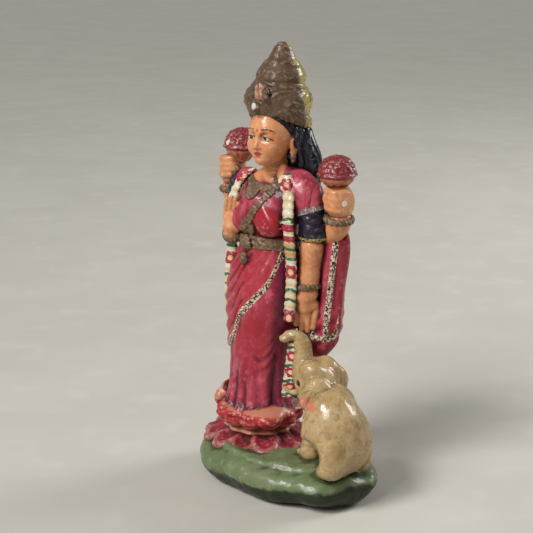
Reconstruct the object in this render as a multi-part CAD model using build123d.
from build123d import *
import os
from math import cos, sin, tau

# Painted clay figurine: a four-armed goddess stands on a lotus beside a seated elephant.
# Millimetres. Origin at the centre of the flat underside, +Z up, -Y is the figure's front
# and +X is the figure's left. The pieces are moulded one by one and luted together, so each
# one is cut back to the face of the pieces that were set before it.

# ---------------------------------------------------------------- driving dimensions
MOUND_LENGTH = 77.0
MOUND_WIDTH = 50.0
LOTUS_X, LOTUS_Y = -15.0, 2.0
CUP_RADIUS = 15.6
CUP_TOP = 26.5
CUP_BOTTOM = 15.0
CUP_LOBES = 11
PETAL_REACH_X, PETAL_REACH_Y = 19.0, 16.0
PETAL_COUNT = 13
HEM_Z = 24.6
WAIST_Z = 87.0
BREAST_Z = 97.0
SHOULDER_Z = 107.5
HEAD_CENTRE = (-9.9, 1.8, 127.2)
HEAD_RADII = (8.2, 9.2, 9.6)
CROWN_X, CROWN_Y = -9.8, 6.2
CROWN_BASE = 130.5
CROWN_LEAN = 4.5
BAND_TILT = 22.0
DOME_TILT = 10.0
BELT_HEIGHT = 5.0
STRAND_WIDTH = 5.0
STRAND_DEPTH = 2.6
BANGLE_RADIUS = 1.0
BUD_RADIUS = 6.7
STRAND_STATIONS = 9
TIP_SHARE = 0.55
EAR_LOBE_RADII = (1.7, 2.1, 3.2)
EARRING_OFFSET = 8.7
EARRING_RADIUS = 1.7
EARRING_BACK = 2.8
EARRING_Z = 117.9
BREAST_RADII = (5.2, 5.2, 5.4)
SHOULDER_RADII = (5.0, 5.6, 6.2)

# Figure's body: (z, centre x, centre y, half width x, half depth y)
SKIRT_SECTIONS = (
    (HEM_Z, -14.8, 1.2, 13.8, 11.6), (32, -14.9, 1.5, 12.6, 10.4), (45, -15.0, 2.0, 12.4, 10.4),
    (58, -14.7, 2.8, 13.8, 11.2), (72, -14.0, 3.8, 14.9, 11.8), (81, -13.3, 4.6, 13.0, 10.6),
    (WAIST_Z, -13.0, 5.0, 11.2, 9.2),
)
TORSO_SECTIONS = (
    (WAIST_Z, -13.0, 5.0, 11.2, 9.2), (92, -12.8, 5.0, 11.4, 9.0), (99, -12.4, 5.0, 13.0, 9.2),
    (106, -12.0, 5.4, 14.2, 8.4), (110, -11.4, 6.0, 12.8, 7.2), (113.5, -10.8, 6.6, 8.2, 6.0),
    (115.4, -10.4, 6.8, 5.2, 4.8),
)
PALLU_SECTIONS = (
    (98, 7.5, 12.4, 6.0, 4.0), (92, 8.6, 12.6, 8.6, 5.2), (78, 7.0, 12.6, 9.4, 5.8),
    (64, 5.8, 12.4, 9.6, 6.2), (54, 4.8, 12.0, 8.8, 6.0), (47, 3.6, 11.2, 5.0, 4.2),
)
HAIR_SECTIONS = (
    (134, -9.6, 8.0, 8.8, 7.6), (129, -9.0, 8.6, 10.2, 8.4), (124, -8.6, 10.6, 10.9, 7.8),
    (119, -8.2, 12.4, 11.8, 6.9), (112, -8.4, 13.0, 11.9, 6.6), (102, -9.4, 13.6, 10.6, 5.4),
    (92, -10.4, 13.8, 7.4, 4.2), (84, -11.2, 13.6, 3.0, 2.4),
)
MOUND_PROFILE = (
    (0.0, 0.94), (1.6, 0.985), (4.5, 1.0), (8.5, 0.985), (11.0, 0.92), (12.8, 0.80), (14.0, 0.60),
)

# Crown: (height above the crown's base, radius)
CROWN_BAND_PROFILE = ((0.6, 10.2), (1.8, 11.3), (3.8, 11.4), (5.0, 10.8))
CROWN_DOME_PROFILE = ((3.0, 10.6), (5.4, 11.4), (8.4, 11.8), (11.5, 11.2), (14.0, 9.8), (15.6, 8.4))
CROWN_TIER_PROFILE = ((15.6, 8.4), (18.0, 8.8), (20.5, 7.6), (22.4, 5.8))
FINIAL_PROFILE = ((22.4, 5.8), (23.6, 4.9), (24.8, 4.4), (26.4, 3.7), (28.2, 2.8), (29.5, 1.2))

# Arms: spine points and the radius at each of them
LEFT_SLEEVE = ((3.2, 6.4, 110.6), (6.2, 6.2, 102.0), (7.6, 6.0, 90.6)), (5.0, 5.2, 4.6)
LEFT_FOREARM = ((7.4, 6.0, 92.0), (6.8, 5.4, 83.0), (5.8, 4.8, 73.6)), (3.9, 3.9, 3.5)
LEFT_HAND = ((5.8, 4.8, 75.0), (5.4, 4.6, 66.0), (5.0, 5.4, 56.6)), (3.6, 4.6, 2.6)
RIGHT_SLEEVE = ((-26.6, 6.4, 110.4), (-29.0, 6.4, 103.0), (-29.0, 6.4, 93.0)), (4.8, 5.0, 4.4)
RIGHT_FOREARM = ((-28.6, 6.4, 92.0), (-27.2, 2.0, 89.8), (-24.2, -2.6, 91.2)), (4.0, 3.9, 3.4)
RIGHT_HAND = ((-23.2, -3.2, 91.0), (-22.3, -4.4, 97.0), (-22.0, -4.8, 104.8)), (3.4, 3.9, 2.4)
REAR_LEFT_ARM = (
    ((2.0, 11.0, 104.0), (9.0, 11.0, 93.4), (14.6, 10.4, 96.0), (15.8, 10.0, 102.0)), (4.2, 4.6, 4.4, 4.0)
)
REAR_LEFT_HAND = ((15.8, 10.0, 100.6), (16.2, 9.8, 106.0), (14.8, 10.0, 111.4)), (3.8, 5.4, 3.2)
REAR_RIGHT_ARM = (
    ((-26.0, 11.0, 106.0), (-30.6, 11.2, 97.8), (-35.4, 10.6, 99.8), (-37.0, 10.2, 106.0)),
    (4.2, 4.4, 4.2, 3.8),
)
REAR_RIGHT_HAND = ((-37.0, 10.2, 105.6), (-36.6, 10.0, 111.4), (-33.6, 10.0, 117.0)), (3.6, 4.8, 3.0)

# Lotus buds: place of the stem's foot, and the bud's outline above it
LEFT_BUD_FOOT = (14.8, 10.0, 109.6)
RIGHT_BUD_FOOT = (-31.8, 10.0, 114.4)
BUD_PROFILE = ((0.0, 2.6), (2.4, 4.2), (5.6, BUD_RADIUS), (8.4, 6.3), (11.0, 4.6), (12.4, 1.6))

# Elephant, seated with its rump to the front and its head turned up to the hand
ELEPHANT_BODY = (28.2, -4.0, 26.6), (11.6, 11.4, 15.6), (14.0, -12.0, 0.0)
ELEPHANT_HEAD = (14.2, 1.0, 41.2), (8.2, 7.8, 8.2), (0.0, -20.0, 0.0)
ELEPHANT_TRUNK = (
    ((10.0, 0.8, 41.6), (7.4, 1.2, 48.0), (7.0, 1.0, 54.0), (4.4, -0.4, 57.4), (2.0, -1.8, 55.4)),
    (4.6, 3.7, 3.2, 2.6, 2.0),
)
ELEPHANT_NEAR_EAR = (19.4, -5.0, 38.2), (4.6, 2.2, 6.2), (0.0, 16.0, 43.0)
ELEPHANT_FAR_EAR = (17.8, 7.2, 40.4), (3.9, 1.9, 5.2), (0.0, 0.0, 62.0)
ELEPHANT_LEGS = {
    "near_front": (((19.0, -2.6, 32.0), (16.0, -3.0, 22.0), (15.2, -3.2, 12.6)), (3.8, 3.4, 3.6)),
    "far_front": (((19.0, 7.0, 31.0), (15.4, 9.4, 22.0), (14.6, 10.0, 12.6)), (3.8, 3.4, 3.6)),
    "near_hind": (((33.0, -5.0, 18.0), (30.4, -8.6, 15.0), (26.6, -9.4, 13.4)), (3.8, 3.6, 3.0)),
    "far_hind": (((30.6, 1.6, 18.0), (26.6, 6.8, 14.4), (21.6, 9.4, 12.8)), (4.8, 4.2, 3.4)),
}
ELEPHANT_TAIL = ((37.4, 1.0, 26.0), (37.2, 2.4, 20.0), (34.6, 3.4, 14.0)), (1.3, 1.2, 1.4)

# Garland: spine points of each strand, laid over the dress
GARLAND_LEFT = (
    (-2.2, 4.6, 113.6), (1.2, 0.0, 108.4), (2.4, -1.8, 100.0), (3.0, -1.6, 90.0),
    (3.4, -1.0, 78.0), (3.0, -1.2, 69.0), (2.6, -1.2, 61.6),
)
GARLAND_RIGHT = (
    (-16.6, 4.2, 113.4), (-24.0, -0.4, 108.4), (-25.6, -1.8, 100.0), (-25.6, -1.6, 90.0),
    (-27.4, -1.0, 78.0), (-27.2, -1.4, 66.0), (-26.4, -1.4, 58.4),
)
TAIL_WIDTH = STRAND_WIDTH + 1.0
TAIL_DEPTH = STRAND_DEPTH + 1.6
GARLAND_TAIL = ((3.4, 1.6, 53.0), (3.0, 1.0, 46.0), (2.2, 0.4, 38.0), (1.4, 0.0, 28.4))

SASH_LEFT = ((-3.2, 1.2, 112.0), (-7.2, -3.4, 106.0), (-13.0, -5.6, 97.0)), (1.5, 1.4, 1.4)
SASH_RIGHT = (
    ((-20.6, 1.0, 110.6), (-20.0, -2.2, 104.0), (-18.6, -4.4, 99.4), (-14.8, -5.4, 96.4)),
    (1.5, 1.4, 1.4, 1.4),
)

# Trimmings: centre, radii and tilt of the egg-shaped ones
CROWN_CREST = (-8.2, -4.8, 141.6), (3.6, 1.8, 5.2), (6, 0, 12)
RAISED_LOBE = (LOTUS_X - 12.4, LOTUS_Y - 2.0, CUP_TOP + 1.0), (3.8, 6.0, 6.2)
BELT_BUCKLE = (-14.4, -5.4, 88.8), (3.6, 2.2, 3.6)
BELT_PENDANT = (-15.0, -6.4, 83.2), (2.0, 2.0, 3.0)
NECK_PENDANT = (-13.4, -3.0, 107.4), (3.0, 1.9, 3.0)
SASH_CLASP = (-13.8, -4.9, 94.6), (2.5, 2.2, 3.8)

# Belt: centre, half widths, height, wall and tilt
WAIST_BELT = (-13.0, 5.0, 89.0), 12.4, 10.3, BELT_HEIGHT, 3.4, (0, 1.5, 0)

# Hoops: centre, ring radius, cord radius and tilt
NECKLACE = (-10.6, 4.0, 112.2), 7.8, 1.6, (18, 0, 0)
BANGLES = {
    "front_left_bangle": ((5.9, 4.9, 74.4), 3.7, BANGLE_RADIUS, (0, -5, 0)),
    "front_right_bangle": ((-24.6, -2.2, 91.2), 3.6, BANGLE_RADIUS, (60, 0, 20)),
    "rear_left_bangle": ((15.5, 10.3, 99.6), 4.4, BANGLE_RADIUS, (5, 9, 0)),
    "rear_right_bangle": ((-36.9, 10.2, 103.6), 4.0, BANGLE_RADIUS, (0, -4, 0)),
}


# ---------------------------------------------------------------- shape helpers
def ellipsoid(centre, radii, tilt=(0, 0, 0)):
    return Pos(*centre) * Rot(*tilt) * scale(Sphere(1), by=radii)


def ellipse_stack(sections):
    return loft([Pos(x, y, z) * Ellipse(rx, ry) for z, x, y, rx, ry in sections])


def limb(points, radii):
    """A round limb along a smooth spine, with a blunt rounded tip at each end."""
    spine = Spline(*points)
    last = len(radii) - 1
    stations = [(0.0, TIP_SHARE * radii[0])]
    stations += [(0.06 + 0.88 * i / last, radius) for i, radius in enumerate(radii)]
    stations += [(1.0, TIP_SHARE * radii[last])]
    rings = []
    for share, radius in stations:
        station = Plane(origin=spine.position_at(share), z_dir=spine.tangent_at(share))
        rings.append(station * Circle(radius))
    return loft(rings)


def turned(profile, foot=(0, 0, 0), tilt=0.0):
    """A round piece turned from an outline of (height, radius) points."""
    low, high = profile[0][0], profile[-1][0]
    points = [(radius, height) for height, radius in profile]
    side = Spline(*points)
    caps = [Line((0, low), points[0]), Line(points[-1], (0, high)), Line((0, high), (0, low))]
    face = make_face(Plane.XZ * Wire([side, *caps]))
    return Pos(*foot) * Rot(tilt, 0, 0) * revolve(face, Axis.Z)


def flat_strand(points, width, depth):
    """A flattened cord of flowers: an ellipse carried along a smooth spine."""
    spine = Spline(*points)
    rings = []
    for i in range(STRAND_STATIONS):
        share = i / (STRAND_STATIONS - 1)
        station = Plane(origin=spine.position_at(share), x_dir=(1, 0, 0), z_dir=spine.tangent_at(share))
        rings.append(station * Ellipse(width / 2, depth / 2))
    return loft(rings)


def flower_stack(sections, lobes):
    """A lobed body lofted through flower-shaped outlines: (z, half x, half y, lobe depth)."""
    outlines = []
    for z, rx, ry, depth in sections:
        points = []
        for i in range(4 * lobes):
            angle = tau * i / (4 * lobes)
            reach = 1 + depth * cos(lobes * angle)
            points.append((LOTUS_X + rx * reach * cos(angle), LOTUS_Y + ry * reach * sin(angle), z))
        outlines.append(make_face(Spline(*points, periodic=True)))
    return loft(outlines)


def ring(centre, radius_x, radius_y, height, thickness, tilt=(0, 0, 0)):
    """An oval band: the outer drum less the room inside it."""
    outer = loft([
        Pos(0, 0, -height / 2) * Ellipse(radius_x - thickness / 4, radius_y - thickness / 4),
        Ellipse(radius_x, radius_y),
        Pos(0, 0, height / 2) * Ellipse(radius_x - thickness / 4, radius_y - thickness / 4),
    ])
    inner = extrude(Ellipse(radius_x - thickness, radius_y - thickness), height, both=True)
    return Pos(*centre) * Rot(*tilt) * (outer - inner)


def hoop(centre, radius, thickness, tilt):
    return Pos(*centre) * Rot(*tilt) * Torus(radius, thickness)


# ---------------------------------------------------------------- the pieces
pieces = {}
boxes = {}


def boxes_meet(a, b):
    lows = (a.min.X < b.max.X, a.min.Y < b.max.Y, a.min.Z < b.max.Z)
    highs = (b.min.X < a.max.X, b.min.Y < a.max.Y, b.min.Z < a.max.Z)
    return all(lows) and all(highs)


def place(name, shape, lengths=1):
    """Cuts away what the pieces already set fill, and keeps the largest solids left as a node."""
    box = shape.bounding_box()
    for other in pieces:
        if boxes_meet(box, boxes[other]):
            shape = shape - pieces[other]
    solids = sorted(shape.solids(), key=lambda solid: -solid.volume)[:lengths]
    pieces[name] = solids[0] if lengths == 1 else Compound(children=solids)
    boxes[name] = pieces[name].bounding_box()


def mound():
    sections = [
        (z, 0, 0, grow * MOUND_LENGTH / 2, grow * MOUND_WIDTH / 2) for z, grow in MOUND_PROFILE
    ]
    return ellipse_stack(sections)


def lotus_cup():
    middle = (CUP_BOTTOM + CUP_TOP) / 2
    cup = flower_stack((
        (CUP_BOTTOM, 10.5, 10.0, 0.02), (middle, CUP_RADIUS - 1.2, CUP_RADIUS - 1.8, 0.06),
        (middle + 3.4, CUP_RADIUS, CUP_RADIUS - 0.6, 0.07), (CUP_TOP, 13.8, 13.2, 0.04),
    ), CUP_LOBES)
    return cup + ellipsoid(*RAISED_LOBE)


def lower_petals():
    return flower_stack((
        (9.5, PETAL_REACH_X, PETAL_REACH_Y, 0.10), (13.2, PETAL_REACH_X + 1.6, PETAL_REACH_Y + 1.6, 0.13),
        (16.0, 16.4, 14.2, 0.07), (20.0, 11.8, 11.2, 0.02),
    ), PETAL_COUNT)


def torso():
    body = ellipse_stack(TORSO_SECTIONS)
    for side in (-1, 1):
        body = body + ellipsoid((-12.2 + 6.0 * side, -1.4, BREAST_Z), BREAST_RADII)
        body = body + ellipsoid((-11.8 + 13.0 * side, 6.2, SHOULDER_Z), SHOULDER_RADII)
    return body


def head():
    skull = ellipsoid(HEAD_CENTRE, HEAD_RADII)
    neck = loft([Pos(-10.6, 6.2, 110) * Circle(5.0), Pos(-10.2, 5.0, 119) * Circle(4.6)])
    shape = skull + neck
    for side in (-1, 1):
        x = HEAD_CENTRE[0] + side * (HEAD_RADII[0] - 0.1)
        shape = shape + ellipsoid((x, HEAD_CENTRE[1] + 2.8, 122.4), EAR_LOBE_RADII)
    return shape


def crown_part(profile, tilt=-CROWN_LEAN):
    """A slice of the crown, turned about its own backward-leaning axis."""
    return turned(profile, foot=(CROWN_X, CROWN_Y, CROWN_BASE), tilt=tilt)


place("ground_mound", mound())
place("sari_skirt", ellipse_stack(SKIRT_SECTIONS))
place("torso", torso())
place("head", head())
place("elephant_body", ellipsoid(*ELEPHANT_BODY))
place("elephant_head", ellipsoid(*ELEPHANT_HEAD))
place("lotus_cup", lotus_cup())
place("lotus_lower_petals", lower_petals())

place("crown_band", crown_part(CROWN_BAND_PROFILE, tilt=-BAND_TILT))
place("crown_dome", crown_part(CROWN_DOME_PROFILE, tilt=-DOME_TILT))
place("crown_tier", crown_part(CROWN_TIER_PROFILE))
place("crown_finial", crown_part(FINIAL_PROFILE))
place("crown_crest", ellipsoid(*CROWN_CREST))

place("front_left_sleeve", limb(*LEFT_SLEEVE))
place("front_left_forearm", limb(*LEFT_FOREARM))
place("front_left_hand", limb(*LEFT_HAND))
place("front_right_sleeve", limb(*RIGHT_SLEEVE))
place("front_right_forearm", limb(*RIGHT_FOREARM))
place("front_right_hand", limb(*RIGHT_HAND))
place("rear_left_arm", limb(*REAR_LEFT_ARM))
place("rear_left_hand", limb(*REAR_LEFT_HAND))
place("rear_right_arm", limb(*REAR_RIGHT_ARM))
place("rear_right_hand", limb(*REAR_RIGHT_HAND))
place("left_lotus_bud", turned(BUD_PROFILE, foot=LEFT_BUD_FOOT))
place("right_lotus_bud", turned(BUD_PROFILE, foot=RIGHT_BUD_FOOT))

place("sari_pallu", ellipse_stack(PALLU_SECTIONS))
place("hair", ellipse_stack(HAIR_SECTIONS))

place("elephant_trunk", limb(*ELEPHANT_TRUNK))
place("elephant_near_ear", ellipsoid(*ELEPHANT_NEAR_EAR))
place("elephant_far_ear", ellipsoid(*ELEPHANT_FAR_EAR))
for name, (points, radii) in ELEPHANT_LEGS.items():
    place(f"elephant_{name}_leg", limb(points, radii))
place("elephant_tail", limb(*ELEPHANT_TAIL))

place("garland_left", flat_strand(GARLAND_LEFT, STRAND_WIDTH, STRAND_DEPTH))
place("garland_right", flat_strand(GARLAND_RIGHT, STRAND_WIDTH, STRAND_DEPTH), lengths=2)
place("garland_tail", flat_strand(GARLAND_TAIL, TAIL_WIDTH, TAIL_DEPTH))

place("waist_belt", ring(*WAIST_BELT))
place("belt_buckle", ellipsoid(*BELT_BUCKLE))
place("belt_pendant", ellipsoid(*BELT_PENDANT))
place("necklace", hoop(*NECKLACE))
place("neck_pendant", ellipsoid(*NECK_PENDANT))
place("sash_left", limb(*SASH_LEFT))
place("sash_right", limb(*SASH_RIGHT))
place("sash_clasp", ellipsoid(*SASH_CLASP))

for name, sizes in BANGLES.items():
    place(name, hoop(*sizes))
for side, sign in (("left", 1), ("right", -1)):
    at_lobe = Pos(HEAD_CENTRE[0] + EARRING_OFFSET * sign, HEAD_CENTRE[1] + EARRING_BACK, EARRING_Z)
    place(f"{side}_earring", at_lobe * Sphere(EARRING_RADIUS))

os.makedirs("parts", exist_ok=True)
for name, solid in pieces.items():
    export_step(solid, f"parts/{name}.step")
